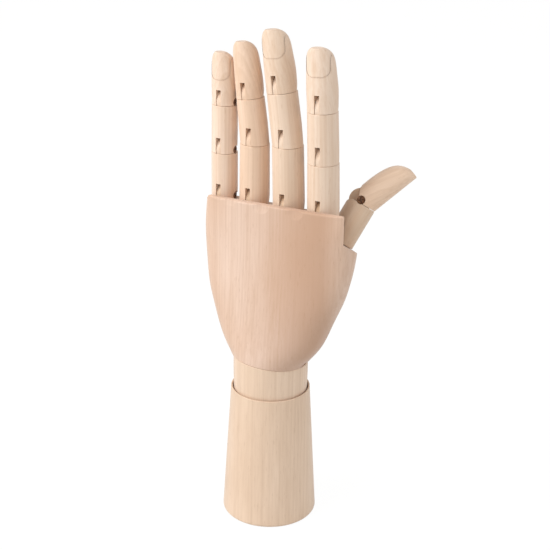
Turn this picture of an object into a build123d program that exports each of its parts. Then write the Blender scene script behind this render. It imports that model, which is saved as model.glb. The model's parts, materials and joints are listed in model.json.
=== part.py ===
from build123d import *

import math
import os

os.makedirs("parts", exist_ok=True)

# A jointed wooden hand on a turned forearm base, in millimetres, +Z up.
# The origin is the centre of the base's underside. The back of the hand faces -Y,
# the palm side faces +Y and the thumb is at +X.

# Gaps and fits
joint_gap = 0.35  # round end of a hinge to the piece below
stop_gap = 0.2  # flat end faces of a straight hinge
tongue_side_clearance = 0.2  # tongue face to slot wall
tongue_rim_clearance = 0.35  # tongue rim to slot end
screw_clearance = 0.05  # screw shank to its hole
peg_clearance = 0.05  # dowel to its hole
socket_clearance = 0.5  # barrel to the base's rim
edge_round = 0.5  # sanded rim of each finger piece

# Forearm base
base_height = 83.6
base_bottom_radius = 28.6
base_top_radius = 23.7
base_edge_round = 1.8
rim_round = 0.4
socket_depth = 4.0

# Wrist barrel and its hinge to the palm
barrel_radius = 21.9
barrel_bulge = 0.4
wrist_height = 18.6  # joint plane above the base's rim, on the forearm's axis
wrist_side_slant = 3.5  # joint plane lower on the thumb side
wrist_palm_slant = -5.4  # joint plane lower on the palm side
wrist_pin_setback = -3.0
wrist_pin_rise = 2.1
wrist_tongue_radius = 14.0
wrist_tongue_thickness = 9.0
wrist_flexion = 35.0
wrist_screw_radius = 1.1
wrist_head_radius = 1.6
wrist_head_height = 1.6
wrist_counterbore_radius = 2.3
wrist_head_seat = 15.5
wrist_screw_length = 31.0

# Spring-loaded stud that holds the barrel on the base
stud_radius = 3.0
stud_bore_radius = 3.4
stud_below_joint = 6.2
stud_bottom = 15.0
spring_pocket_radius = 9.5
spring_pocket_depth = 46.0
spring_wire_radius = 0.8
spring_coil_radius = 6.2
spring_turns = 5
spring_end_gap = 0.3
washer_radius = 8.6
washer_thickness = 1.6
washer_height = 22.0
nut_across_flats = 10.0
nut_height = 5.0

# Palm: cross-sections as share of the palm's length above the wrist, thumb reach, little-finger reach,
# back depth, palm depth, squareness
palm_length = 95.8  # wrist joint plane to the knuckles
palm_sections = (
    (-0.0856, 22.4, 22.4, 22.0, 22.0, 2.0),
    (0.0188, 24.6, 23.3, 22.0, 22.0, 2.0),
    (0.1232, 32.0, 29.7, 20.3, 20.3, 2.2),
    (0.2484, 37.6, 34.8, 18.3, 19.3, 2.3),
    (0.3737, 42.6, 38.5, 16.8, 18.8, 2.4),
    (0.4990, 47.2, 40.9, 15.5, 18.5, 2.5),
    (0.6242, 50.2, 41.9, 14.5, 18.5, 2.6),
    (0.7286, 51.8, 42.4, 13.8, 18.2, 2.8),
    (0.8330, 52.4, 41.9, 13.4, 17.0, 3.4),
    (0.9478, 53.4, 40.5, 13.3, 15.4, 4.2),
    (1.0428, 53.4, 39.4, 13.3, 14.0, 4.8),
)
lip_slant = 1.6  # top section higher on the thumb side
section_points = 24
lip_inner_face = -9.9  # back lip's inner wall behind the knuckles
lip_edge_round = 1.2
palm_slope_start = 4.0  # palm-side relief under the bent fingers
palm_slope_angle = 39.0
valley_radius = 22.0
valley_depth = 0.7

# Hinge tongue, screw and end shapes shared by the fingers
pin_rise = 1.9  # hinge pin above the joint plane
tongue_thickness = 2.6
tongue_inset = 0.4  # tongue rim inside the finger's surface
notch_height = 9.6  # palm-side relief of the upper piece, above the pin
shoulder_start = 3.5  # palm-side rounding of the lower piece
shoulder_drop = 3.2
knuckle_flexion = 60.0
middle_flexion = 80.0
end_flexion = 50.0
screw_radius = 1.0
head_radius = 2.2
head_height = 1.5
head_inset = 0.4  # head below the finger's surface
counterbore_radius = 2.5
recess_width = 0.7
recess_length = 3.0
recess_depth = 0.8
shank_end_wall = 2.2
peg_radius = 4.0
peg_depth = 14.0

# Fingers: root position, turn of the peg, sideways lean of each piece on the one below,
# length of each piece from joint plane to joint plane or tip, radius at each joint,
# side on which the screws enter
fingers = {
    "index": dict(
        root=32.5, turn=4.0,
        leans=(-1.4, -0.9, 0.0),
        lengths=(30.9, 29.25, 36.25),
        radii=(9.2, 9.0, 8.7),
        side=-1,
    ),
    "middle": dict(
        root=10.6, turn=0.5,
        leans=(-2.0, -6.0, 1.5),
        lengths=(37.5, 30.4, 35.6),
        radii=(9.2, 9.0, 8.7),
        side=-1,
    ),
    "ring": dict(
        root=-11.8, turn=1.0,
        leans=(0.0, -7.0, 2.0),
        lengths=(35.5, 26.3, 32.5),
        radii=(8.8, 8.5, 7.9),
        side=-1,
    ),
    "little": dict(
        root=-31.7, turn=0.0,
        leans=(0.0, 0.4, 0.0),
        lengths=(27.5, 28.1, 30.8),
        radii=(7.6, 7.6, 7.4),
        side=1,
    ),
}
fingers_with_nail = ("index", "middle", "little")

# Fingertip and thumb tip: distance below the tip, share of the full width, share of the full thickness
finger_end = ((16.0, 0.985, 0.9), (8.5, 0.94, 0.8), (4.0, 0.83, 0.67), (1.3, 0.62, 0.49), (0.0, 0.4, 0.32))
thumb_end = ((16.0, 0.985, 0.99), (8.5, 0.94, 0.9), (4.0, 0.83, 0.75), (1.3, 0.62, 0.55), (0.0, 0.4, 0.37))
nail_length = 15.9
nail_half_width_share = 0.82
nail_corner_radius = 4.5
nail_line_width = 0.5
nail_line_depth = 0.22

# Thumb: seat on the palm, swivel peg and two pieces
thumb_seat_side = 38.15
thumb_seat_forward = 9.83
thumb_seat_drop = 18.48  # below the knuckles
thumb_azimuth = 26.0
thumb_tilt = 19.0  # towards the palm side
thumb_lean = 29.3  # outwards
thumb_lower_radius = 8.5
thumb_lower_length = 25.1
thumb_upper_radius = 8.05
thumb_upper_length = 33.8
thumb_upper_lean = 20.4
thumb_pin_offset = 1.75  # hinge pin towards the pad side
thumb_tongue_radius = 6.8
thumb_tongue_thickness = 4.0
thumb_notch_height = 12.2
thumb_screw_reach = 7.0  # pin's middle to the dip that the screw is set in
thumb_flexion = 70.0
thumb_notch_clearance = 0.8
thumb_wall_offset = 2.65  # palm's upright end beside the thumb
thumb_peg_in_palm = 17.0
thumb_peg_in_thumb = 9.0

# Heights that follow from the lengths
wrist_plane_height = base_height + wrist_height
knuckle_height = wrist_plane_height + palm_length
stud_top = wrist_plane_height - stud_below_joint
cut_reach = 1.5 * palm_length  # past the palm on every side


def turned(frame, direction, angle):
    """The same hinge frame, turned about a direction through its pin."""
    spin = Axis((0, 0, 0), direction)
    return Plane(frame.origin, x_dir=frame.x_dir.rotate(spin, angle), z_dir=frame.z_dir.rotate(spin, angle))


def along(frame, distance, pad=0.0):
    """The same hinge frame, moved along the piece's axis and towards its palm side."""
    return Plane(frame.from_local_coords((pad, distance, 0)), x_dir=frame.x_dir, z_dir=frame.z_dir)


def across(frame, distance, pad=0.0):
    """The plane square to the piece's axis, X along the pin and Y to the palm side."""
    return Plane(frame.from_local_coords((pad, distance, 0)), x_dir=frame.z_dir, z_dir=frame.y_dir)


def bore(frame, radius, start, end):
    """Cut a round hole along the pin axis."""
    with BuildSketch(frame.offset(start)) as hole:
        Circle(radius)
    extrude(hole.sketch, amount=end - start, mode=Mode.SUBTRACT)


def add_tongue(frame, radius, thickness, shank_radius):
    """Join the hinge disc to the lower piece and drill it for the screw."""
    with BuildSketch(frame) as disc:
        Circle(radius)
    extrude(disc.sketch, amount=thickness / 2, both=True)
    bore(frame, shank_radius + screw_clearance, -thickness, thickness)


def round_shoulder(frame, radius):
    """Round the palm-side top edge of the lower piece, so that the upper one can fold over it."""
    with BuildSketch(frame) as shoulder:
        with BuildLine():
            TangentArc((shoulder_start, -pin_rise), (radius, -pin_rise - shoulder_drop), tangent=(1, 0))
            Polyline(
                (radius, -pin_rise - shoulder_drop),
                (2 * radius, -pin_rise - shoulder_drop),
                (2 * radius, 0),
                (shoulder_start, 0),
                (shoulder_start, -pin_rise),
            )
        make_face()
    extrude(shoulder.sketch, amount=radius, both=True, mode=Mode.SUBTRACT)


def cut_hinge_end(frame, rise, flexion, notch, reach):
    """Cut the upper piece's lower end flat, rounded at the pin and relieved in front for the bend."""
    throat = rise - joint_gap
    stop = rise - stop_gap
    angle = math.radians(flexion)
    run = (notch + throat * math.cos(angle)) / math.sin(angle)
    arc_end = (throat * math.sin(angle), -throat * math.cos(angle))
    slope_end = (arc_end[0] + run * math.cos(angle), notch)
    with BuildSketch(frame) as waste:
        with BuildLine():
            Polyline(
                slope_end,
                (reach, notch),
                (reach, -reach),
                (-reach, -reach),
                (-reach, -stop),
                (0, -stop),
                (0, -throat),
            )
            TangentArc((0, -throat), arc_end, tangent=(1, 0))
            Line(arc_end, slope_end)
        make_face()
    extrude(waste.sketch, amount=reach, both=True, mode=Mode.SUBTRACT)


def cut_slot(frame, radius, thickness, back):
    """Saw the slot for a tongue, open to the palm side and as deep towards the back as given."""
    reach = 2 * radius
    with BuildSketch(frame) as slot:
        with Locations((-back, radius + tongue_rim_clearance)):
            Rectangle(back + reach, 2 * reach, align=(Align.MIN, Align.MAX))
    extrude(slot.sketch, amount=thickness / 2 + tongue_side_clearance, both=True, mode=Mode.SUBTRACT)


def cut_screw_seat(frame, radius, side):
    """Drill the fork for the screw, with a counterbore on the side where the screw enters."""
    bore(frame, screw_radius + screw_clearance, -side * (radius - shank_end_wall + joint_gap), side * radius)
    bore(frame, counterbore_radius, side * (radius - head_inset - head_height), side * 2 * radius)


def cut_head_room(frame, radius, side, end):
    """Clear the edge of the piece below the hinge, where the screw's head turns over it."""
    bore(frame, counterbore_radius, side * (radius - head_inset - head_height - joint_gap), side * end)


def make_screw(name, frame, shank, head, height, seat, length, side, slot_size):
    """A cross-recessed screw along the pin axis, its head on the side where it enters."""
    slot_length, slot_width, slot_depth = slot_size
    with BuildPart() as screw:
        with BuildSketch(frame.offset(side * seat)) as head_disc:
            Circle(head)
        extrude(head_disc.sketch, amount=side * height)
        with BuildSketch(frame.offset(side * seat)) as shank_disc:
            Circle(shank)
        extrude(shank_disc.sketch, amount=-side * length)
        with BuildSketch(frame.offset(side * (seat + height))) as cross:
            Rectangle(slot_length, slot_width)
            Rectangle(slot_width, slot_length)
        extrude(cross.sketch, amount=-side * slot_depth, mode=Mode.SUBTRACT)
    screw.part.label = name
    export_step(screw.part, f"parts/{name}.step")


def make_finger_screw(name, frame, radius, side):
    """The small hinge screw of a finger or thumb joint."""
    seat = radius - head_inset - head_height
    length = seat + radius - shank_end_wall
    slot_size = (recess_length, recess_width, recess_depth)
    make_screw(name, frame, screw_radius, head_radius, head_height, seat, length, side, slot_size)


def make_phalanx(name, frame, body, radius, top_radius, length, flexion, side):
    """A finger piece with a slotted lower end and a tongue on top."""
    top = along(body, length)
    with BuildPart() as phalanx:
        with BuildSketch(across(body, -2 * pin_rise)) as foot:
            Circle(radius)
        with BuildSketch(across(body, length - pin_rise)) as head:
            Circle(top_radius)
        loft([foot.sketch, head.sketch], ruled=True)
        fillet(phalanx.faces().sort_by(Axis((0, 0, 0), body.y_dir))[-1].edges(), edge_round)
        round_shoulder(top, top_radius)
        cut_hinge_end(frame, pin_rise, flexion, notch_height, 3 * radius)
        cut_slot(frame, radius - tongue_inset, tongue_thickness, 2 * radius)
        cut_screw_seat(frame, radius, side)
        cut_head_room(top, top_radius, side, 2 * top_radius)
        add_tongue(top, top_radius - tongue_inset, tongue_thickness, screw_radius)
    phalanx.part.label = name
    export_step(phalanx.part, f"parts/{name}.step")


def tip_loft(body, radius, length, sections, shrink):
    """Faces of a fingertip from round at the joint to a flat rounded end, straight along the nail side."""
    faces = []
    for height in (-2 * pin_rise, 0.0, pin_rise):
        with BuildSketch(across(body, height)) as section:
            Circle(radius - shrink)
        faces.append(section.sketch)
    for below, width, thickness in sections:
        half = radius * thickness
        with BuildSketch(across(body, length - below, half - radius)) as section:
            Ellipse(radius * width - shrink, half - shrink)
        faces.append(section.sketch)
    return faces


def make_tip(name, frame, body, radius, length, sections, flexion, notch, tongue, screw_reach, side, nail):
    """A fingertip with a slotted lower end and, on most fingers, the scribed outline of a nail."""
    reach = length - pin_rise
    nail_half_width = nail_half_width_share * radius
    nail_plane = Plane(
        body.from_local_coords((-2 * radius, reach, 0)), x_dir=body.z_dir, z_dir=body.z_dir.cross(body.y_dir)
    )
    with BuildPart() as nail_line:
        with BuildSketch(nail_plane) as outline:
            with Locations((0, -nail_length)):
                RectangleRounded(
                    2 * nail_half_width, 4 * nail_length, nail_corner_radius, align=(Align.CENTER, Align.MIN)
                )
            offset(amount=-nail_line_width, mode=Mode.SUBTRACT)
        extrude(outline.sketch, amount=-2 * radius)
        loft(tip_loft(body, radius, reach, sections, nail_line_depth), mode=Mode.SUBTRACT)
    with BuildPart() as tip:
        loft(tip_loft(body, radius, reach, sections, 0.0))
        fillet(tip.faces().sort_by(Axis((0, 0, 0), body.y_dir))[-1].edges(), edge_round)
        cut_hinge_end(frame, pin_rise, flexion, notch, 3 * radius)
        cut_slot(frame, *tongue)
        cut_screw_seat(frame, screw_reach, side)
        if nail:
            add(nail_line.part, mode=Mode.SUBTRACT)
    tip.part.label = name
    export_step(tip.part, f"parts/{name}.step")


def make_knuckle_peg(name, frame, radius):
    """The dowel with a half-round tongue that carries a finger on the palm."""
    with BuildPart() as peg:
        with BuildSketch(across(frame, -pin_rise)) as dowel:
            Circle(peg_radius)
        extrude(dowel.sketch, amount=-peg_depth)
        with BuildSketch(frame) as tongue:
            Circle(radius - tongue_inset)
            with Locations((0, -pin_rise)):
                Rectangle(4 * radius, 4 * radius, align=(Align.CENTER, Align.MAX), mode=Mode.SUBTRACT)
        extrude(tongue.sketch, amount=tongue_thickness / 2, both=True)
        bore(frame, screw_radius + screw_clearance, -tongue_thickness, tongue_thickness)
    peg.part.label = name
    export_step(peg.part, f"parts/{name}.step")


def finger_frame(finger):
    """The knuckle's hinge frame: X to the palm side, Y up the finger, Z along the pin."""
    upright = Plane((finger["root"], 0, knuckle_height + pin_rise), x_dir=(0, 1, 0), z_dir=(1, 0, 0))
    return turned(upright, upright.y_dir, finger["turn"])


def palm_section(share, thumb, little, back, palm, squareness, slant=0.0):
    """A closed rounded outline of the palm at one share of its length."""
    level = Plane((0, 0, wrist_plane_height + share * palm_length))
    points = []
    for i in range(section_points):
        turn = 2 * math.pi * i / section_points
        c = math.cos(turn)
        s = math.sin(turn)
        x = math.copysign(abs(c) ** (2 / squareness), c)
        y = math.copysign(abs(s) ** (2 / squareness), s)
        points.append((x * (thumb if c > 0 else little), y * (palm if s > 0 else back)))
    with BuildSketch(turned(level, level.y_dir, -slant)) as outline:
        with BuildLine():
            Spline(*points, periodic=True)
        make_face()
    return outline.sketch


# Hinge frames of the wrist and the thumb
wrist_upright = Plane((0, 0, wrist_plane_height), x_dir=(0, 1, 0), z_dir=(1, 0, 0))
wrist_leaning = turned(wrist_upright, wrist_upright.x_dir, wrist_side_slant)
wrist_plane = turned(wrist_leaning, wrist_leaning.z_dir, wrist_palm_slant)
wrist_frame = Plane(
    wrist_plane.from_local_coords((wrist_pin_setback, wrist_pin_rise, 0)),
    x_dir=wrist_plane.x_dir,
    z_dir=wrist_plane.z_dir,
)
thumb_side = math.radians(thumb_azimuth)
thumb_upright = Plane(
    (thumb_seat_side, thumb_seat_forward, knuckle_height - thumb_seat_drop),
    x_dir=(-math.cos(thumb_side), -math.sin(thumb_side), 0),
    z_dir=(-math.sin(thumb_side), math.cos(thumb_side), 0),
)
thumb_tilted = turned(thumb_upright, thumb_upright.x_dir, thumb_tilt)
thumb_frame = turned(thumb_tilted, thumb_tilted.z_dir, thumb_lean)

# Forearm base: a turned cone with a rimmed socket on top and a spring pocket below
socket_floor = base_height - socket_depth
socket_radius = barrel_radius + barrel_bulge + socket_clearance
with BuildPart() as base:
    with BuildSketch(Plane.XZ) as base_profile:
        with BuildLine():
            Polyline(
                (stud_bore_radius, spring_pocket_depth),
                (spring_pocket_radius, spring_pocket_depth),
                (spring_pocket_radius, 0),
                (base_bottom_radius, 0),
                (base_top_radius, base_height),
                (socket_radius, base_height),
                (socket_radius, socket_floor),
                (stud_bore_radius, socket_floor),
                close=True,
            )
        make_face()
        fillet(base_profile.vertices().group_by(Axis.X)[-1], base_edge_round)
        fillet(base_profile.vertices().group_by(Axis.Y)[-1], rim_round)
    revolve(base_profile.sketch, axis=Axis.Z)
base.part.label = "forearm_base"
export_step(base.part, "parts/forearm_base.step")

# Wrist barrel: turned, faintly barrel-shaped, its slanted top carrying the wrist tongue
barrel_foot = socket_floor + joint_gap
barrel_blank = wrist_plane_height + wrist_tongue_radius
with BuildPart() as barrel:
    with BuildSketch(Plane.XZ) as barrel_profile:
        with BuildLine():
            ThreePointArc(
                (barrel_radius, barrel_foot),
                (barrel_radius + barrel_bulge, (barrel_foot + barrel_blank) / 2),
                (barrel_radius, barrel_blank),
            )
            Polyline(
                (barrel_radius, barrel_blank),
                (0, barrel_blank),
                (0, barrel_foot),
                (barrel_radius, barrel_foot),
            )
        make_face()
    revolve(barrel_profile.sketch, axis=Axis.Z)
    split(bisect_by=across(wrist_frame, -wrist_pin_rise), keep=Keep.BOTTOM)
    fillet(barrel.faces().sort_by(Axis.Z)[-1].edges(), edge_round)
    add_tongue(wrist_frame, wrist_tongue_radius, wrist_tongue_thickness, wrist_screw_radius)
    with BuildSketch(Plane.XY.offset(barrel_foot)) as stud_hole:
        Circle(stud_radius + screw_clearance)
    extrude(stud_hole.sketch, amount=stud_top - barrel_foot, mode=Mode.SUBTRACT)
barrel.part.label = "wrist_barrel"
export_step(barrel.part, "parts/wrist_barrel.step")

# Stud, spring, washer and nut that hold the barrel down on the base
with BuildPart() as stud:
    with BuildSketch(Plane.XY.offset(stud_bottom)) as stud_section:
        Circle(stud_radius)
    extrude(stud_section.sketch, amount=stud_top - stud_bottom)
    chamfer(stud.edges(), stud_radius / 5)
stud.part.label = "wrist_stud"
export_step(stud.part, "parts/wrist_stud.step")

with BuildPart() as washer:
    with BuildSketch(Plane.XY.offset(washer_height)) as washer_section:
        Circle(washer_radius)
        Circle(stud_radius + screw_clearance, mode=Mode.SUBTRACT)
    extrude(washer_section.sketch, amount=washer_thickness)
washer.part.label = "spring_washer"
export_step(washer.part, "parts/spring_washer.step")

with BuildPart() as nut:
    with BuildSketch(Plane.XY.offset(washer_height)) as nut_section:
        RegularPolygon(nut_across_flats / 2, 6, major_radius=False)
        Circle(stud_radius + screw_clearance, mode=Mode.SUBTRACT)
    extrude(nut_section.sketch, amount=-nut_height)
nut.part.label = "stud_nut"
export_step(nut.part, "parts/stud_nut.step")


def helix_point(turns, low, rise):
    """Point and direction of travel on the spring's centre line."""
    angle = 2 * math.pi * turns
    c = math.cos(angle)
    s = math.sin(angle)
    point = Vector(spring_coil_radius * c, spring_coil_radius * s, low + rise * turns)
    heading = Vector(-s, c, rise / (2 * math.pi * spring_coil_radius)).normalized()
    return point, heading


# Compression spring: quarter turns of two tangent arcs each
spring_low = washer_height + washer_thickness + spring_wire_radius + spring_end_gap
spring_high = spring_pocket_depth - spring_wire_radius - spring_end_gap
spring_rise = (spring_high - spring_low) / spring_turns
spring_self_gap = spring_rise * math.cos(math.atan(spring_rise / (2 * math.pi * spring_coil_radius)))
print("spring: least gap between turns", round(spring_self_gap - 2 * spring_wire_radius, 3), "mm")
with BuildPart() as spring:
    with BuildLine() as spring_path:
        for quarter in range(4 * spring_turns):
            start, start_heading = helix_point(quarter / 4, spring_low, spring_rise)
            end, end_heading = helix_point((quarter + 1) / 4, spring_low, spring_rise)
            chord = end - start
            both = start_heading + end_heading
            b = chord.dot(both)
            a = 2 * (1 - start_heading.dot(end_heading))
            reach = (-b + math.sqrt(b * b + a * chord.dot(chord))) / a
            middle = (start + start_heading * reach + end - end_heading * reach) * 0.5
            first = TangentArc(start, middle, tangent=start_heading)
            TangentArc(middle, end, tangent=first % 1)
    wire_start, wire_heading = helix_point(0, spring_low, spring_rise)
    with BuildSketch(Plane(wire_start, z_dir=wire_heading)) as wire:
        Circle(spring_wire_radius)
    sweep(wire.sketch, path=spring_path.wires()[0])
spring.part.label = "wrist_spring"
export_step(spring.part, "parts/wrist_spring.step")

# Fingers, each from its knuckle peg to its tip
for name, finger in fingers.items():
    knuckle = finger_frame(finger)
    radii = finger["radii"]
    lengths = finger["lengths"]
    leans = finger["leans"]
    side = finger["side"]
    make_knuckle_peg(f"{name}_knuckle_peg", knuckle, radii[0])
    body = turned(knuckle, knuckle.x_dir, leans[0])
    middle_joint = along(body, lengths[0])
    make_phalanx(f"{name}_lower_piece", knuckle, body, radii[0], radii[1], lengths[0], knuckle_flexion, side)
    body = turned(middle_joint, middle_joint.x_dir, leans[1])
    end_joint = along(body, lengths[1])
    make_phalanx(f"{name}_middle_piece", middle_joint, body, *radii[1:], lengths[1], middle_flexion, side)
    body = turned(end_joint, end_joint.x_dir, leans[2])
    make_tip(
        f"{name}_tip",
        end_joint,
        body,
        radii[2],
        lengths[2],
        finger_end,
        end_flexion,
        notch_height,
        (radii[2] - tongue_inset, tongue_thickness, 2 * radii[2]),
        radii[2],
        side,
        name in fingers_with_nail,
    )
    make_finger_screw(f"{name}_knuckle_screw", knuckle, radii[0], side)
    make_finger_screw(f"{name}_middle_screw", middle_joint, radii[1], side)
    make_finger_screw(f"{name}_end_screw", end_joint, radii[2], side)
    finger["joints"] = (knuckle, middle_joint, end_joint)

# Thumb: a plain lower piece on a swivel peg, and a tip bent outwards on it
thumb_foot = across(thumb_frame, stop_gap)
thumb_joint = along(thumb_frame, thumb_lower_length + pin_rise, thumb_pin_offset)
with BuildPart() as thumb_lower:
    with BuildSketch(thumb_foot) as thumb_section:
        Circle(thumb_lower_radius)
    extrude(thumb_section.sketch, amount=thumb_lower_length - stop_gap)
    fillet(thumb_lower.edges().filter_by(GeomType.CIRCLE), edge_round)
    round_shoulder(thumb_joint, thumb_lower_radius - thumb_pin_offset)
    cut_head_room(thumb_joint, thumb_screw_reach, -1, 2 * thumb_lower_radius)
    add_tongue(thumb_joint, thumb_tongue_radius, thumb_tongue_thickness, screw_radius)
    with BuildSketch(thumb_foot) as thumb_peg_hole:
        Circle(peg_radius + peg_clearance)
    extrude(thumb_peg_hole.sketch, amount=thumb_peg_in_thumb + joint_gap, mode=Mode.SUBTRACT)
thumb_lower.part.label = "thumb_lower_piece"
export_step(thumb_lower.part, "parts/thumb_lower_piece.step")

with BuildPart() as thumb_peg:
    with BuildSketch(across(thumb_frame, -thumb_peg_in_palm)) as thumb_dowel:
        Circle(peg_radius)
    extrude(thumb_dowel.sketch, amount=thumb_peg_in_palm + thumb_peg_in_thumb)
thumb_peg.part.label = "thumb_root_peg"
export_step(thumb_peg.part, "parts/thumb_root_peg.step")

thumb_tip_offset = thumb_lower_radius - thumb_upper_radius + thumb_pin_offset
body = turned(along(thumb_joint, 0, -thumb_tip_offset), thumb_joint.z_dir, thumb_upper_lean)
make_tip(
    "thumb_tip",
    thumb_joint,
    body,
    thumb_upper_radius,
    thumb_upper_length,
    thumb_end,
    thumb_flexion,
    thumb_notch_height,
    (thumb_tongue_radius, thumb_tongue_thickness, thumb_tongue_radius + tongue_rim_clearance),
    thumb_screw_reach,
    -1,
    False,
)
make_finger_screw("thumb_end_screw", thumb_joint, thumb_screw_reach, -1)

# Palm: carved block with a back lip behind the knuckles, a seat for the thumb and the wrist mortise
slope_plane = turned(Plane((0, palm_slope_start, knuckle_height)), (1, 0, 0), -palm_slope_angle)
with BuildPart() as palm:
    outlines = [palm_section(*section) for section in palm_sections[:-1]]
    loft(outlines + [palm_section(*palm_sections[-1], lip_slant)])
    fillet(palm.faces().sort_by(Axis.Z)[-1].edges(), lip_edge_round)
    split(bisect_by=slope_plane, keep=Keep.BOTTOM)
    with BuildSketch(Plane((0, lip_inner_face, knuckle_height))) as knuckle_shelf:
        Rectangle(cut_reach, cut_reach, align=(Align.CENTER, Align.MIN))
    extrude(knuckle_shelf.sketch, amount=cut_reach, mode=Mode.SUBTRACT)
    roots = sorted(finger["root"] for finger in fingers.values())
    valley_y = valley_depth - valley_radius - palm_sections[-1][3]
    valley_z = wrist_plane_height + palm_sections[-1][0] * palm_length
    for left, right in zip(roots, roots[1:]):
        with Locations(((left + right) / 2, valley_y, valley_z)):
            Sphere(valley_radius, mode=Mode.SUBTRACT)
    for finger in fingers.values():
        with BuildSketch(across(finger["joints"][0], -pin_rise)) as peg_hole:
            Circle(peg_radius + peg_clearance)
        extrude(peg_hole.sketch, amount=-peg_depth - joint_gap, mode=Mode.SUBTRACT)
        knuckle_radius = finger["radii"][0]
        cut_head_room(finger["joints"][0], knuckle_radius, finger["side"], knuckle_radius + head_inset)
    thumb_floor = across(thumb_frame, 0)
    notch_radius = thumb_lower_radius + thumb_notch_clearance
    with BuildSketch(thumb_floor) as thumb_notch:
        Circle(notch_radius)
        with Locations((0, -notch_radius)):
            Rectangle(cut_reach, 2 * notch_radius, align=(Align.MIN, Align.MIN))
    extrude(thumb_notch.sketch, amount=cut_reach, mode=Mode.SUBTRACT)
    with BuildSketch(thumb_floor) as thumb_step:
        with Locations((0, -thumb_wall_offset)):
            Rectangle(cut_reach, cut_reach, align=(Align.CENTER, Align.MAX))
    extrude(thumb_step.sketch, amount=cut_reach, dir=(0, 0, 1), mode=Mode.SUBTRACT)
    with BuildSketch(thumb_floor) as thumb_hole:
        Circle(peg_radius + peg_clearance)
    extrude(thumb_hole.sketch, amount=-thumb_peg_in_palm - joint_gap, mode=Mode.SUBTRACT)
    cut_hinge_end(wrist_frame, wrist_pin_rise, wrist_flexion, cut_reach, 2 * cut_reach)
    bore(
        wrist_frame,
        wrist_tongue_radius + tongue_rim_clearance,
        -wrist_tongue_thickness / 2 - tongue_side_clearance,
        wrist_tongue_thickness / 2 + tongue_side_clearance,
    )
    screw_hole_end = wrist_head_seat - wrist_screw_length
    bore(wrist_frame, wrist_screw_radius + screw_clearance, screw_hole_end, wrist_head_seat)
    bore(wrist_frame, wrist_counterbore_radius, wrist_head_seat, cut_reach)
palm.part.label = "palm"
export_step(palm.part, "parts/palm.step")

wrist_slot = (2 * wrist_head_radius - recess_width, recess_width, recess_depth)
make_screw(
    "wrist_screw",
    wrist_frame,
    wrist_screw_radius,
    wrist_head_radius,
    wrist_head_height,
    wrist_head_seat,
    wrist_screw_length - joint_gap,
    1,
    wrist_slot,
)
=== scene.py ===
import json
import math

import bpy
from mathutils import Matrix, Vector


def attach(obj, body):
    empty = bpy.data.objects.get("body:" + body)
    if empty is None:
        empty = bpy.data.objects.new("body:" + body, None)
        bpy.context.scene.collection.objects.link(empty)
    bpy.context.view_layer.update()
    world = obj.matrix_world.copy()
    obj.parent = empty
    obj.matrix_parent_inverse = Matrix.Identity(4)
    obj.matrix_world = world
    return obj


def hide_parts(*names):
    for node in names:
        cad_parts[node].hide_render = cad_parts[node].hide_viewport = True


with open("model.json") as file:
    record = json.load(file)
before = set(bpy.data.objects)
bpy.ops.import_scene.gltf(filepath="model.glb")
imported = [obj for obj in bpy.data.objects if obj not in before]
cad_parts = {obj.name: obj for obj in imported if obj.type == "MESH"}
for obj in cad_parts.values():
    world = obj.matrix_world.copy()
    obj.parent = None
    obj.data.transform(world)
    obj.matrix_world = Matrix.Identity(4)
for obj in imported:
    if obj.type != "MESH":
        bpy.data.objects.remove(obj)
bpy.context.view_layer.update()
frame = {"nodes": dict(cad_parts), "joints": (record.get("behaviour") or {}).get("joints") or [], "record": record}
nodes = frame["nodes"]
joints = {joint["name"]: joint for joint in frame["joints"]}
fingerNames = ["index", "middle", "ring", "little"]
millimetre = 0.001
paintedShadeSamples = 8  # rays that tell how open a spot is, for the painted shade in hollows
print("frame loaded:", len(nodes), "pieces")


def linear(hexColour):
    parts = [int(hexColour[i:i + 2], 16) / 255 for i in (1, 3, 5)]
    return tuple(p / 12.92 if p <= 0.04045 else ((p + 0.055) / 1.055) ** 2.4 for p in parts) + (1.0,)


def addNode(tree, kind, settings=None, inputs=None):
    node = tree.nodes.new(kind)
    for name, value in (settings or {}).items():
        setattr(node, name, value)
    for key, value in (inputs or {}).items():
        if isinstance(value, bpy.types.NodeSocket):
            tree.links.new(value, node.inputs[key])
        else:
            node.inputs[key].default_value = value
    return node


def newMaterial(name):
    material = bpy.data.materials.new(name)
    material.use_nodes = True
    tree = material.node_tree
    tree.nodes.clear()
    return material, tree


# Sanded, unvarnished limewood: pale and close-grained, with soft growth rings,
# hair-thin fibres along the grain and a dull, dry sheen
limewood = {
    "ringSpacing": 2.1,           # mm between growth rings
    "ringWander": 1.6,            # mm that a ring strays from straight
    "ringEdges": (0.15, 0.86),    # share of a ring where its late wood starts and is darkest
    "wander": (26.0, 240.0),      # mm across and along the grain, as in the next four lines
    "fibre": (1.0, 60.0),         # fine lines, drawn about twice as coarse as they are, to show
    "streak": (3.4, 260.0),       # bands of darker and paler wood
    "fleck": (0.75, 6.0),         # short ray flecks
    "tint": (38.0, 83.6),         # warmer and paler patches
    "fibreBand": (0.42, 0.72),    # noise from where a mark starts to where it is full
    "streakBand": (0.45, 0.75),
    "fleckBand": (0.64, 0.76),
    "tintBand": (0.32, 0.68),
    "endGrainBand": (0.55, 0.95),  # cosine of the surface's angle to the grain
    "roughness": (0.5, 0.66),
    "reliefDepth": 0.05,          # mm of raised fibre
    "reliefStrength": 0.35,
    "ringRelief": -0.3,           # late wood is sanded lower
    "ior": 1.5,
    "specular": 0.32,
    "sheen": 0.4,                 # raised fibres catch the light at the edges
    "sheenRoughness": 0.4,
    "paintedShadeColour": "#4E3220",         # painted shade in slots, holes and scribed lines
    "paintedShadeReach": 2.6,          # mm that the painted shade reaches
    "paintedShadeBand": (0.6, 0.15),   # openness from where the painted shade starts to where it is full
    "paintedShadeStrength": 0.85,
}


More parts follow.
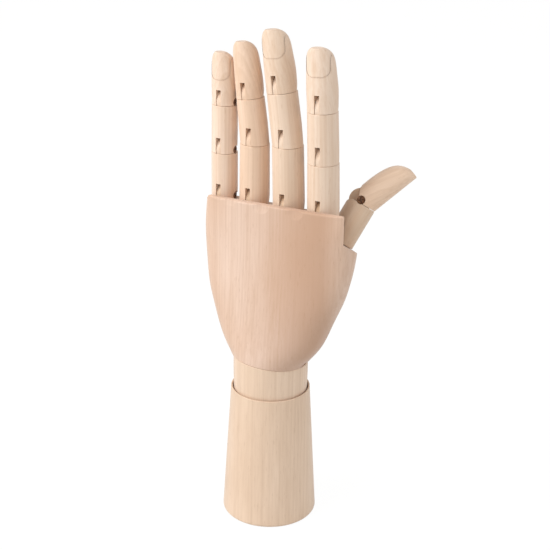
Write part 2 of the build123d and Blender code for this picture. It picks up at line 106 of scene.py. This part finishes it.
def grainNoise(tree, blank, size, detail, roughness=0.5):
    # noise drawn out along the grain; size: mm across it and along it
    across, along = size
    stretched = addNode(tree, "ShaderNodeVectorMath", {"operation": "DIVIDE"}, {
        0: blank, 1: (across, across, along)})
    noise = addNode(tree, "ShaderNodeTexNoise", None, {
        "Vector": stretched.outputs[0], "Scale": 1.0, "Detail": detail, "Roughness": roughness})
    return noise.outputs["Fac"]


def growthRings(tree, blank):
    # late wood of each ring round the tree's heart, some rings darker than others
    wander = grainNoise(tree, blank, limewood["wander"], detail=2.0)
    flat = addNode(tree, "ShaderNodeVectorMath", {"operation": "MULTIPLY"}, {0: blank, 1: (1, 1, 0)})
    heart = addNode(tree, "ShaderNodeVectorMath", {"operation": "LENGTH"}, {0: flat.outputs[0]})
    strayed = addNode(tree, "ShaderNodeMath", {"operation": "MULTIPLY_ADD"}, {
        0: wander, 1: limewood["ringWander"], 2: heart.outputs["Value"]})
    ring = addNode(tree, "ShaderNodeMath", {"operation": "DIVIDE"}, {
        0: strayed.outputs[0], 1: limewood["ringSpacing"]})
    ringPart = addNode(tree, "ShaderNodeMath", {"operation": "FRACT"}, {0: ring.outputs[0]})
    ringNumber = addNode(tree, "ShaderNodeMath", {"operation": "FLOOR"}, {0: ring.outputs[0]})
    ringShare = addNode(tree, "ShaderNodeTexWhiteNoise", {"noise_dimensions": "1D"}, {
        "W": ringNumber.outputs[0]})
    lateWood = addNode(tree, "ShaderNodeValToRGB", None, {"Fac": ringPart.outputs[0]})
    ramp = lateWood.color_ramp
    ramp.elements[0].position, ramp.elements[1].position = limewood["ringEdges"]
    ramp.elements[0].color = (0, 0, 0, 1)
    ramp.elements[1].color = (1, 1, 1, 1)
    ramp.elements.new(1.0).color = (0, 0, 0, 1)
    amount = addNode(tree, "ShaderNodeMath", {"operation": "MULTIPLY"}, {
        0: lateWood.outputs["Color"], 1: ringShare.outputs["Value"]})
    return amount.outputs[0]


def heartwoodAndShadeBand(tree, objectPlace, look):
    # darker wood up the thumb side of the piece: partly heartwood from nearer the tree's heart, partly painted
    # shade of the side turned away from the lamps
    side = addNode(tree, "ShaderNodeSeparateXYZ", None, {0: objectPlace})
    darkening = addNode(tree, "ShaderNodeMapRange", {"interpolation_type": "SMOOTHSTEP"}, {
        "Value": side.outputs["X"],
        "From Min": look["heartFrom"] * millimetre, "From Max": look["heartTo"] * millimetre})
    fading = addNode(tree, "ShaderNodeMapRange", {"interpolation_type": "SMOOTHSTEP"}, {
        "Value": side.outputs["X"],
        "From Min": look["heartTo"] * millimetre, "From Max": look["heartFade"] * millimetre,
        "To Min": 1.0, "To Max": look["heartLeft"]})
    band = addNode(tree, "ShaderNodeMath", {"operation": "MULTIPLY"}, {
        0: darkening.outputs[0], 1: fading.outputs[0]})
    return band.outputs[0]


def makeWood(name, look, axis, spin, place):
    # axis: the way the grain runs; spin: how the blank was turned on it; place: mm from the tree's heart
    material, tree = newMaterial(name)
    stood = Vector(axis).rotation_difference(Vector((0, 0, 1))).to_matrix()
    turn = (Matrix.Rotation(math.radians(spin), 3, "Z") @ stood).to_euler()
    coords = addNode(tree, "ShaderNodeTexCoord")
    blank = addNode(tree, "ShaderNodeMapping", None, {
        "Vector": coords.outputs["Object"],
        "Scale": (1 / millimetre,) * 3,
        "Rotation": turn,
        "Location": place,
    }).outputs["Vector"]
    rings = growthRings(tree, blank)
    fibre = grainNoise(tree, blank, limewood["fibre"], detail=4.0, roughness=0.6)
    streak = grainNoise(tree, blank, limewood["streak"], detail=3.0, roughness=0.55)
    fleck = grainNoise(tree, blank, limewood["fleck"], detail=1.0)
    tint = grainNoise(tree, blank, limewood["tint"], detail=2.0)

    # end grain drinks light and looks darker
    facing = addNode(tree, "ShaderNodeVectorMath", {"operation": "DOT_PRODUCT"}, {
        0: coords.outputs["Normal"], 1: tuple(axis)})
    endOn = addNode(tree, "ShaderNodeMath", {"operation": "ABSOLUTE"}, {0: facing.outputs["Value"]})
    # painted shade: slots, counterbores and scribed lines are darkened where they are closed in
    paintedShadeOpenness = addNode(
        tree, "ShaderNodeAmbientOcclusion", {"samples": paintedShadeSamples, "only_local": True},
        {"Distance": limewood["paintedShadeReach"] * millimetre})

    # each layer over the pale wood: what drives it, from where to where, how strong, which colour
    layers = [
        (tint, limewood["tintBand"], 1.0, look["warm"]),
        (rings, (0, 1), look["ringStrength"], look["late"]),
        (streak, limewood["streakBand"], look["streakStrength"], look["streak"]),
        (fibre, limewood["fibreBand"], look["fibreStrength"], look["late"]),
        (fleck, limewood["fleckBand"], look["fleckStrength"], look["fleck"]),
        (endOn.outputs[0], limewood["endGrainBand"], look["endStrength"], look["endGrain"]),
        # painted shade in hollows
        (paintedShadeOpenness.outputs["AO"], limewood["paintedShadeBand"], limewood["paintedShadeStrength"], limewood["paintedShadeColour"]),
    ]
    # partly heartwood and partly painted shade on the thumb side
    if "heart" in look:
        heartwoodAndShade = heartwoodAndShadeBand(tree, coords.outputs["Object"], look)
        layers.insert(1, (heartwoodAndShade, (0, 1), look["heartAndShadeStrength"], look["heart"]))
    colour = linear(look["pale"])
    for drive, band, strength, tone in layers:
        amount = addNode(tree, "ShaderNodeMapRange", None, {
            "Value": drive, "From Min": band[0], "From Max": band[1], "To Max": strength})
        mix = addNode(tree, "ShaderNodeMix", {"data_type": "RGBA"}, {
            0: amount.outputs[0], 6: colour, 7: linear(tone)})
        colour = mix.outputs[2]

    roughness = addNode(tree, "ShaderNodeMapRange", None, {
        "Value": fibre, "To Min": limewood["roughness"][0], "To Max": limewood["roughness"][1]})
    relief = addNode(tree, "ShaderNodeMath", {"operation": "MULTIPLY_ADD"}, {
        0: rings, 1: limewood["ringRelief"], 2: fibre})
    bump = addNode(tree, "ShaderNodeBump", None, {
        "Height": relief.outputs[0], "Strength": limewood["reliefStrength"],
        "Distance": limewood["reliefDepth"] * millimetre})
    shader = addNode(tree, "ShaderNodeBsdfPrincipled", None, {
        "Base Color": colour,
        "Roughness": roughness.outputs[0],
        "Normal": bump.outputs["Normal"],
        "IOR": limewood["ior"],
        "Specular IOR Level": limewood["specular"],
        "Sheen Weight": limewood["sheen"],
        "Sheen Roughness": limewood["sheenRoughness"],
    })
    addNode(tree, "ShaderNodeOutputMaterial", None, {"Surface": shader.outputs["BSDF"]})
    return material


def setMaterial(piece, material):
    piece.data.materials.clear()
    piece.data.materials.append(material)


# Each wooden piece has its own blank, with the colours of its part of the hand
palmLook = {
    "pale": "#E6CDBC", "warm": "#D9B9A2", "late": "#BF9A80", "streak": "#C4A186", "fleck": "#B08868",
    # heart: a darker band towards the thumb, partly heartwood tone and partly painted shade
    "heart": "#B78F74", "heartAndShadeStrength": 0.7, "heartLeft": 0.1,
    "heartFrom": -18, "heartTo": 36, "heartFade": 50,  # mm towards the thumb
    "endGrain": "#C4A084", "ringStrength": 0.28, "streakStrength": 0.36, "fibreStrength": 0.28,
    "fleckStrength": 0.25, "endStrength": 0.15,
}
fingerLook = {
    "pale": "#EDD6C1", "warm": "#E2C6AC", "late": "#CFAD8E", "streak": "#D0AC8B", "fleck": "#BD9674",
    "endGrain": "#B8916D", "ringStrength": 0.3, "streakStrength": 0.4, "fibreStrength": 0.28,
    "fleckStrength": 0.22, "endStrength": 0.3,
}
fingerLooks = {
    "index": dict(fingerLook, pale="#EBD5C2", warm="#E1C9B3"),
    "middle": dict(fingerLook, pale="#EBD5C1", warm="#E0C7B0"),
    "ring": dict(fingerLook, pale="#EED3BD", warm="#E4C4AA"),
    "little": dict(fingerLook, pale="#F0D8C5", warm="#E7CCB5"),
}
thumbLook = dict(fingerLook, pale="#DBC3AC", warm="#CBAE91")
# paler wood on the thumb's tip: painted light standing in for the light on its upper side
thumbTipPaintedLightLook = dict(fingerLook, pale="#F2D7C0", warm="#E5C6AB")
forearmLook = {
    "pale": "#E9D0B9", "warm": "#E0C5AC", "late": "#CCAE93", "streak": "#CDB096", "fleck": "#BB997C",
    "endGrain": "#BC9878", "ringStrength": 0.3, "streakStrength": 0.35, "fibreStrength": 0.28,
    "fleckStrength": 0.22, "endStrength": 0.25,
}
pegLook = dict(
    fingerLook, pale="#DFC4A8", warm="#CFAE8C", late="#B38E6B", streak="#B58F6C", endGrain="#A07A58")


def jointPlace(name):
    return Vector(joints[name]["pos_m"])


def farthest(node, start):
    return max((v.co for v in nodes[node].data.vertices), key=lambda co: (co - start).length)


# each blank: its look, the way its grain runs, its turn in degrees, mm from the tree's heart
upright = Vector((0, 0, 1))
blanks = {
    "palm": (palmLook, upright, 0, (-170, 6, 0)),
    "forearm_base": (forearmLook, upright, -25, (140, 30, 12)),
    "wrist_barrel": (forearmLook, upright, 70, (-97, 108, 30)),
}
# the index's blanks, and how much further on each next finger's were turned and cut
fingerBlanks = {
    "knuckle_peg": {"turn": 0, "turnStep": 40, "place": (30, 22, 5), "placeStep": (0, 17, 0)},
    "lower_piece": {"turn": 25, "turnStep": 50, "place": (83, -61, 0), "placeStep": (17, 0, 11)},
    "middle_piece": {"turn": 140, "turnStep": 35, "place": (-76, 67, 0), "placeStep": (0, 17, 23)},
    "tip": {"turn": 80, "turnStep": -42, "place": (59, 92, 0), "placeStep": (-17, 0, 31)},
}
for count, name in enumerate(fingerNames):
    knuckle = jointPlace(name + "_knuckle")
    middle = jointPlace(name + "_middle_joint")
    end = jointPlace(name + "_end_joint")
    lowerAxis = (middle - knuckle).normalized()
    grain = {
        "knuckle_peg": lowerAxis,
        "lower_piece": lowerAxis,
        "middle_piece": (end - middle).normalized(),
        "tip": (farthest(name + "_tip", end) - end).normalized(),
    }
    for piece, cut in fingerBlanks.items():
        look = pegLook if piece == "knuckle_peg" else fingerLooks[name]
        spin = cut["turn"] + cut["turnStep"] * count
        place = Vector(cut["place"]) + Vector(cut["placeStep"]) * count
        blanks[name + "_" + piece] = (look, grain[piece], spin, place)
thumbBend = jointPlace("thumb_end_joint")
thumbAxis = Vector(joints["thumb_turn"]["axis"])
thumbTipAxis = (farthest("thumb_tip", thumbBend) - thumbBend).normalized()
blanks["thumb_root_peg"] = (pegLook, thumbAxis, 15, (28, -24, 3))
blanks["thumb_lower_piece"] = (thumbLook, thumbAxis, 65, (44, 30, 9))
blanks["thumb_tip"] = (thumbTipPaintedLightLook, thumbTipAxis, 120, (-36, 47, 40))
for name, (look, axis, spin, place) in blanks.items():
    setMaterial(nodes[name], makeWood("limewood_sanded_" + name, look, axis, spin, place))
print("wood:", len(blanks), "blanks")


# Bronzed steel screws: a dark brown oxide skin, rubbed to paler brown metal on the high spots
bronzed = {
    "skin": "#6A4630",
    "rubbed": "#A87E5A",
    # painted shade in the cross recess
    "paintedShadeColour": "#1E120B",
    "patch": 0.8,                 # mm across a rubbed patch
    "roughness": (0.5, 0.7),
    "metallic": 0.2,
}
# Zinc-plated steel: bluish grey, faintly mottled by the plating bath
zinc = {
    "skin": "#C3C7CA",
    "rubbed": "#9EA3A8",
    # painted shade in hollows
    "paintedShadeColour": "#5B5E61",
    "patch": 2.4,
    "roughness": (0.24, 0.42),
    "metallic": 1.0,
}
metalFinish = {
    "rubBand": (0.45, 0.7),       # noise from untouched to rubbed
    "roughBand": (0.3, 0.7),      # noise from smoothest to roughest
    "paintedShadeReach": 0.7,          # mm that the painted shade reaches from the bottom of a recess
    "paintedShadeBand": (0.85, 0.3),   # openness from unshaded to full painted shade
    "bumpDepth": 0.02,            # mm
    "bumpStrength": 0.2,
}


def makeMetal(name, look):
    material, tree = newMaterial(name)
    coords = addNode(tree, "ShaderNodeTexCoord")
    mottle = addNode(tree, "ShaderNodeTexNoise", None, {
        "Vector": coords.outputs["Object"], "Scale": 1 / (look["patch"] * millimetre),
        "Detail": 4.0, "Roughness": 0.6})
    rub = addNode(tree, "ShaderNodeMapRange", None, {
        "Value": mottle.outputs["Fac"],
        "From Min": metalFinish["rubBand"][0], "From Max": metalFinish["rubBand"][1]})
    colour = addNode(tree, "ShaderNodeMix", {"data_type": "RGBA"}, {
        0: rub.outputs[0], 6: linear(look["skin"]), 7: linear(look["rubbed"])})
    rough = addNode(tree, "ShaderNodeMapRange", None, {
        "Value": mottle.outputs["Fac"],
        "From Min": metalFinish["roughBand"][0], "From Max": metalFinish["roughBand"][1],
        "To Min": look["roughness"][0], "To Max": look["roughness"][1]})
    # painted shade: recesses are darkened where they are closed in
    paintedShadeOpenness = addNode(
        tree, "ShaderNodeAmbientOcclusion", {"samples": paintedShadeSamples, "only_local": True},
        {"Distance": metalFinish["paintedShadeReach"] * millimetre})
    paintedShadeAmount = addNode(tree, "ShaderNodeMapRange", None, {
        "Value": paintedShadeOpenness.outputs["AO"],
        "From Min": metalFinish["paintedShadeBand"][0], "From Max": metalFinish["paintedShadeBand"][1]})
    paintedShadeMix = addNode(tree, "ShaderNodeMix", {"data_type": "RGBA"}, {
        0: paintedShadeAmount.outputs[0], 6: colour.outputs[2], 7: linear(look["paintedShadeColour"])})
    bump = addNode(tree, "ShaderNodeBump", None, {
        "Height": mottle.outputs["Fac"], "Strength": metalFinish["bumpStrength"],
        "Distance": metalFinish["bumpDepth"] * millimetre})
    shader = addNode(tree, "ShaderNodeBsdfPrincipled", None, {
        "Base Color": paintedShadeMix.outputs[2], "Roughness": rough.outputs[0], "Normal": bump.outputs["Normal"],
        "Metallic": look["metallic"]})
    addNode(tree, "ShaderNodeOutputMaterial", None, {"Surface": shader.outputs["BSDF"]})
    return material


screwMetal = makeMetal("bronzed_steel", bronzed)
zincSteel = makeMetal("zinc_plated_steel", zinc)
for name in ("wrist_stud", "wrist_spring", "spring_washer", "stud_nut"):
    setMaterial(nodes[name], zincSteel)

# Hinge screws: pan heads with a cross recess, one shape set by named sizes for all of them
screwShape = {
    "headRadius": 2.2,            # mm, full-sized head; the wrist's screw has a smaller one
    "dome": 0.35,                 # mm that the head's middle stands above its rim
    "recessLength": 3.0,          # mm
    "recessWidth": 0.7,           # mm
    "recessDepth": 0.8,           # mm
    "turnStep": 37.0,             # degrees from one screw's recess to the next
    "sides": 40,
    "domeRings": 6,
    "sharpEdge": 32.0,            # degrees, blunter edges are shaded round
}


def makeScrewTree():
    tree = bpy.data.node_groups.new("crossScrew", "GeometryNodeTree")
    tree.interface.new_socket("Geometry", in_out="INPUT", socket_type="NodeSocketGeometry")
    for name in ("Head Radius", "Head Height", "Dome", "Shank Radius", "Shank Length",
                 "Recess Length", "Recess Width", "Recess Depth", "Turn"):
        tree.interface.new_socket(name, in_out="INPUT", socket_type="NodeSocketFloat")
    tree.interface.new_socket("Material", in_out="INPUT", socket_type="NodeSocketMaterial")
    tree.interface.new_socket("Geometry", in_out="OUTPUT", socket_type="NodeSocketGeometry")
    given = addNode(tree, "NodeGroupInput").outputs
    head = addNode(tree, "GeometryNodeMeshCylinder", {"fill_type": "TRIANGLE_FAN"}, {
        "Vertices": screwShape["sides"], "Fill Segments": screwShape["domeRings"],
        "Radius": given["Head Radius"], "Depth": given["Head Height"]})
    # the top face rises to a shallow dome inside the head's height
    where = addNode(tree, "GeometryNodeInputPosition")
    split = addNode(tree, "ShaderNodeSeparateXYZ", None, {0: where.outputs[0]})
    onTop = addNode(tree, "FunctionNodeCompare", {"data_type": "FLOAT", "operation": "GREATER_THAN"}, {
        0: split.outputs["Z"], 1: 0.0})
    level = addNode(tree, "ShaderNodeVectorMath", {"operation": "MULTIPLY"}, {
        0: where.outputs[0], 1: (1, 1, 0)})
    out = addNode(tree, "ShaderNodeVectorMath", {"operation": "LENGTH"}, {0: level.outputs[0]})
    share = addNode(tree, "ShaderNodeMath", {"operation": "DIVIDE"}, {
        0: out.outputs["Value"], 1: given["Head Radius"]})
    fall = addNode(tree, "ShaderNodeMath", {"operation": "POWER"}, {0: share.outputs[0], 1: 2.0})
    sink = addNode(tree, "ShaderNodeMath", {"operation": "MULTIPLY"}, {
        0: fall.outputs[0], 1: given["Dome"]})
    down = addNode(tree, "ShaderNodeMath", {"operation": "MULTIPLY"}, {0: sink.outputs[0], 1: -1.0})
    dip = addNode(tree, "ShaderNodeCombineXYZ", None, {"Z": down.outputs[0]})
    domed = addNode(tree, "GeometryNodeSetPosition", None, {
        "Geometry": head.outputs["Mesh"], "Selection": onTop.outputs[0], "Offset": dip.outputs[0]})
    # two bars cut the cross
    deep = addNode(tree, "ShaderNodeMath", {"operation": "MULTIPLY"}, {0: given["Recess Depth"], 1: 2.0})
    half = addNode(tree, "ShaderNodeMath", {"operation": "MULTIPLY"}, {0: given["Head Height"], 1: 0.5})
    bars = []
    for first, second in (("Recess Length", "Recess Width"), ("Recess Width", "Recess Length")):
        size = addNode(tree, "ShaderNodeCombineXYZ", None, {
            "X": given[first], "Y": given[second], "Z": deep.outputs[0]})
        bar = addNode(tree, "GeometryNodeMeshCube", None, {"Size": size.outputs[0]})
        raised = addNode(tree, "ShaderNodeCombineXYZ", None, {"Z": half.outputs[0]})
        bars.append(addNode(tree, "GeometryNodeTransform", None, {
            "Geometry": bar.outputs["Mesh"], "Translation": raised.outputs[0]}))
    cross = addNode(tree, "GeometryNodeMeshBoolean", {"operation": "UNION", "solver": "EXACT"})
    for bar in bars:
        tree.links.new(bar.outputs[0], cross.inputs["Mesh 2"])
    cut = addNode(tree, "GeometryNodeMeshBoolean", {"operation": "DIFFERENCE", "solver": "EXACT"}, {
        "Mesh 1": domed.outputs[0], "Mesh 2": cross.outputs["Mesh"]})
    turn = addNode(tree, "ShaderNodeCombineXYZ", None, {"Z": given["Turn"]})
    lift = addNode(tree, "ShaderNodeCombineXYZ", None, {"Z": half.outputs[0]})
    placed = addNode(tree, "GeometryNodeTransform", None, {
        "Geometry": cut.outputs["Mesh"], "Translation": lift.outputs[0], "Rotation": turn.outputs[0]})
    shank = addNode(tree, "GeometryNodeMeshCylinder", None, {
        "Vertices": screwShape["sides"], "Radius": given["Shank Radius"], "Depth": given["Shank Length"]})
    halfShank = addNode(tree, "ShaderNodeMath", {"operation": "MULTIPLY"}, {
        0: given["Shank Length"], 1: -0.5})
    lower = addNode(tree, "ShaderNodeCombineXYZ", None, {"Z": halfShank.outputs[0]})
    sunk = addNode(tree, "GeometryNodeTransform", None, {
        "Geometry": shank.outputs["Mesh"], "Translation": lower.outputs[0]})
    whole = addNode(tree, "GeometryNodeJoinGeometry")
    tree.links.new(placed.outputs[0], whole.inputs[0])
    tree.links.new(sunk.outputs[0], whole.inputs[0])
    axis = addNode(tree, "GeometryNodeInputNamedAttribute", {"data_type": "FLOAT_VECTOR"}, {"Name": "axis"})
    facing = addNode(tree, "FunctionNodeAlignRotationToVector", {"axis": "Z"}, {
        "Vector": axis.outputs["Attribute"]})
    stood = addNode(tree, "GeometryNodeInstanceOnPoints", None, {
        "Points": given["Geometry"], "Instance": whole.outputs[0], "Rotation": facing.outputs[0]})
    real = addNode(tree, "GeometryNodeRealizeInstances", None, {0: stood.outputs[0]})
    finished = addNode(tree, "GeometryNodeSetMaterial", None, {
        "Geometry": real.outputs[0], "Material": given["Material"]})
    addNode(tree, "NodeGroupOutput", None, {0: finished.outputs[0]})
    return tree


def screwSizes(node, joint):
    # read the CAD screw along its hinge: head side, seat, radii and the shank's end
    rimShare = 0.95  # points beyond this share of the radius are on the head's rim
    sameLevel = 0.01 * millimetre
    start = Vector(joint["pos_m"])
    axis = Vector(joint["axis"]).normalized()
    spans = []
    for vertex in nodes[node].data.vertices:
        off = vertex.co - start
        along = off.dot(axis)
        spans.append((along, (off - axis * along).length))
    headRadius = max(r for t, r in spans)
    head = [t for t, r in spans if r > rimShare * headRadius]
    ends = [t for t, r in spans]
    side = 1 if min(head) + max(head) > min(ends) + max(ends) else -1
    seat = min(side * t for t in head)
    tail = min(side * t for t in ends)
    shankRadius = max(r for t, r in spans if side * t < tail + sameLevel)
    return {
        "place": start + axis * side * seat, "axis": axis * side,
        "Head Radius": headRadius, "Head Height": max(side * t for t in head) - seat,
        "Shank Radius": shankRadius, "Shank Length": seat - tail,
    }


screwTree = makeScrewTree()
screwInputs = [item for item in screwTree.interface.items_tree if item.in_out == "INPUT"]
screwSockets = {item.name: item.identifier for item in screwInputs}
screwJoints = {"wrist_screw": "palm_bend", "thumb_end_screw": "thumb_end_joint"}
for name in fingerNames:
    screwJoints[name + "_knuckle_screw"] = name + "_knuckle"
    screwJoints[name + "_middle_screw"] = name + "_middle_joint"
    screwJoints[name + "_end_screw"] = name + "_end_joint"
bodyOf = {node: body for body, group in frame["record"]["behaviour"]["bodies"].items() for node in group}
for count, (node, jointName) in enumerate(screwJoints.items()):
    facts = screwSizes(node, joints[jointName])
    pointMesh = bpy.data.meshes.new(node + "_point")
    pointMesh.from_pydata([facts["place"]], [], [])
    pointMesh.attributes.new("axis", "FLOAT_VECTOR", "POINT").data[0].vector = facts["axis"]
    maker = bpy.data.objects.new(node + "_maker", pointMesh)
    bpy.context.scene.collection.objects.link(maker)
    modifier = maker.modifiers.new("screw", "NODES")
    modifier.node_group = screwTree
    small = min(1.0, facts["Head Radius"] / (screwShape["headRadius"] * millimetre))
    values = {
        "Dome": screwShape["dome"] * millimetre * small,
        "Recess Length": screwShape["recessLength"] * millimetre * small,
        "Recess Width": screwShape["recessWidth"] * millimetre,
        "Recess Depth": screwShape["recessDepth"] * millimetre,
        "Turn": math.radians(screwShape["turnStep"] * count),
        "Material": screwMetal,
    }
    for name in ("Head Radius", "Head Height", "Shank Radius", "Shank Length"):
        values[name] = facts[name]
    for name, value in values.items():
        modifier[screwSockets[name]] = value
    bpy.context.view_layer.update()
    evaluated = maker.evaluated_get(bpy.context.evaluated_depsgraph_get())
    mesh = bpy.data.meshes.new_from_object(evaluated)
    maker.modifiers.remove(modifier)
    bpy.data.objects.remove(maker)
    mesh.shade_smooth()
    mesh.set_sharp_from_angle(angle=math.radians(screwShape["sharpEdge"]))
    screw = bpy.data.objects.new(node + "_cross_head", mesh)
    bpy.context.scene.collection.objects.link(screw)
    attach(screw, bodyOf[node])
    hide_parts(node)
print("metal: screws and wrist hardware")


# Pale studio: a floor that fades to white for the camera, big soft lamps
studio = {
    "floorColour": "#D9D7D3",
    "floorSize": 8.0,             # m
    "floorDrop": 0.0003,          # m below the base, so that the two faces don't flicker
    "floorGlow": 1.06,
    "shadowKept": 0.1,            # share of the floor's shadow that the camera sees
    "fill": 0.57,                 # light from all round
    "aim": (0, 0, 0.16),          # m, where the lamps point
    # each lamp: place in m, size in m, power in W
    "lamps": {
        "key": ((-0.72, -1.02, 1.15), 1.3, 23.2),
        "rim": ((1.1, 0.35, 0.5), 0.8, 3.1),
    },
}


def whiteRays(tree):
    # 1 for the rays that meet a plain white ground: the camera's, mirrored and see-through ones
    path = addNode(tree, "ShaderNodeLightPath")
    seen = addNode(tree, "ShaderNodeMath", {"operation": "MAXIMUM"}, {
        0: path.outputs["Is Camera Ray"], 1: path.outputs["Is Glossy Ray"]})
    seenAll = addNode(tree, "ShaderNodeMath", {"operation": "MAXIMUM"}, {
        0: seen.outputs[0], 1: path.outputs["Is Transmission Ray"]})
    return seenAll.outputs[0]


world = bpy.data.worlds.new("studio")
bpy.context.scene.world = world
world.use_nodes = True
tree = world.node_tree
tree.nodes.clear()
strength = addNode(tree, "ShaderNodeMapRange", None, {
    "Value": whiteRays(tree), "To Min": studio["fill"], "To Max": 1.0})
sky = addNode(tree, "ShaderNodeBackground", None, {"Color": (1, 1, 1, 1), "Strength": strength.outputs[0]})
addNode(tree, "ShaderNodeOutputWorld", None, {"Surface": sky.outputs[0]})

floorMesh = bpy.data.meshes.new("floor")
half = studio["floorSize"] / 2
corners = [(-half, -half), (half, -half), (half, half), (-half, half)]
floorMesh.from_pydata([(x, y, -studio["floorDrop"]) for x, y in corners], [], [(0, 1, 2, 3)])
floor = bpy.data.objects.new("floor", floorMesh)
bpy.context.scene.collection.objects.link(floor)
material, tree = newMaterial("paper_floor")
glow = addNode(tree, "ShaderNodeMath", {"operation": "MULTIPLY"}, {
    0: whiteRays(tree), 1: 1 - studio["shadowKept"]})
paper = addNode(tree, "ShaderNodeBsdfDiffuse", None, {"Color": linear(studio["floorColour"])})
white = addNode(tree, "ShaderNodeEmission", None, {
    "Color": (1, 1, 1, 1), "Strength": studio["floorGlow"]})
blend = addNode(tree, "ShaderNodeMixShader", None, {
    0: glow.outputs[0], 1: paper.outputs[0], 2: white.outputs[0]})
addNode(tree, "ShaderNodeOutputMaterial", None, {"Surface": blend.outputs[0]})
setMaterial(floor, material)

for name, (place, size, power) in studio["lamps"].items():
    lamp = bpy.data.lights.new(name, "AREA")
    lamp.size = size
    lamp.energy = power
    lampObject = bpy.data.objects.new(name, lamp)
    lampObject.location = place
    lampWay = Vector(studio["aim"]) - Vector(place)
    lampObject.rotation_euler = lampWay.to_track_quat("-Z", "Y").to_euler()
    bpy.context.scene.collection.objects.link(lampObject)

# Camera, fitted to the ellipses of the base and the wrist barrel
view = {
    "azimuth": 28.5,              # degrees towards the thumb side
    "distance": 0.7556,           # m from the forearm's axis
    "height": 0.468,              # m
    "tilt": 22.52,                # degrees down
    "roll": 0.66,                 # degrees
    "frameWidth": 550.0,          # pixels
    "focal": 1400.0,              # pixels
    "offCentre": 3.28,            # pixels
    "sensorWidth": 36.0,          # mm
}
around = math.radians(view["azimuth"])
tilt = math.radians(view["tilt"])
roll = math.radians(view["roll"])
forward = Vector((-math.sin(around) * math.cos(tilt), math.cos(around) * math.cos(tilt), -math.sin(tilt)))
right = Vector((math.cos(around), math.sin(around), 0))
up = right.cross(forward)
rightRolled = right * math.cos(roll) + up * math.sin(roll)
upRolled = up * math.cos(roll) - right * math.sin(roll)
cameraData = bpy.data.cameras.new("camera")
cameraData.sensor_width = view["sensorWidth"]
cameraData.lens = view["focal"] / view["frameWidth"] * cameraData.sensor_width
cameraData.shift_x = view["offCentre"] / view["frameWidth"]
camera = bpy.data.objects.new("camera", cameraData)
turned = Matrix((rightRolled, upRolled, -forward)).transposed().to_4x4()
camera.matrix_world = Matrix.Translation(
    (math.sin(around) * view["distance"], -math.cos(around) * view["distance"], view["height"])) @ turned
bpy.context.scene.collection.objects.link(camera)
bpy.context.scene.camera = camera
bpy.context.scene.view_settings.view_transform = "Standard"
print("studio: lamps and camera set")
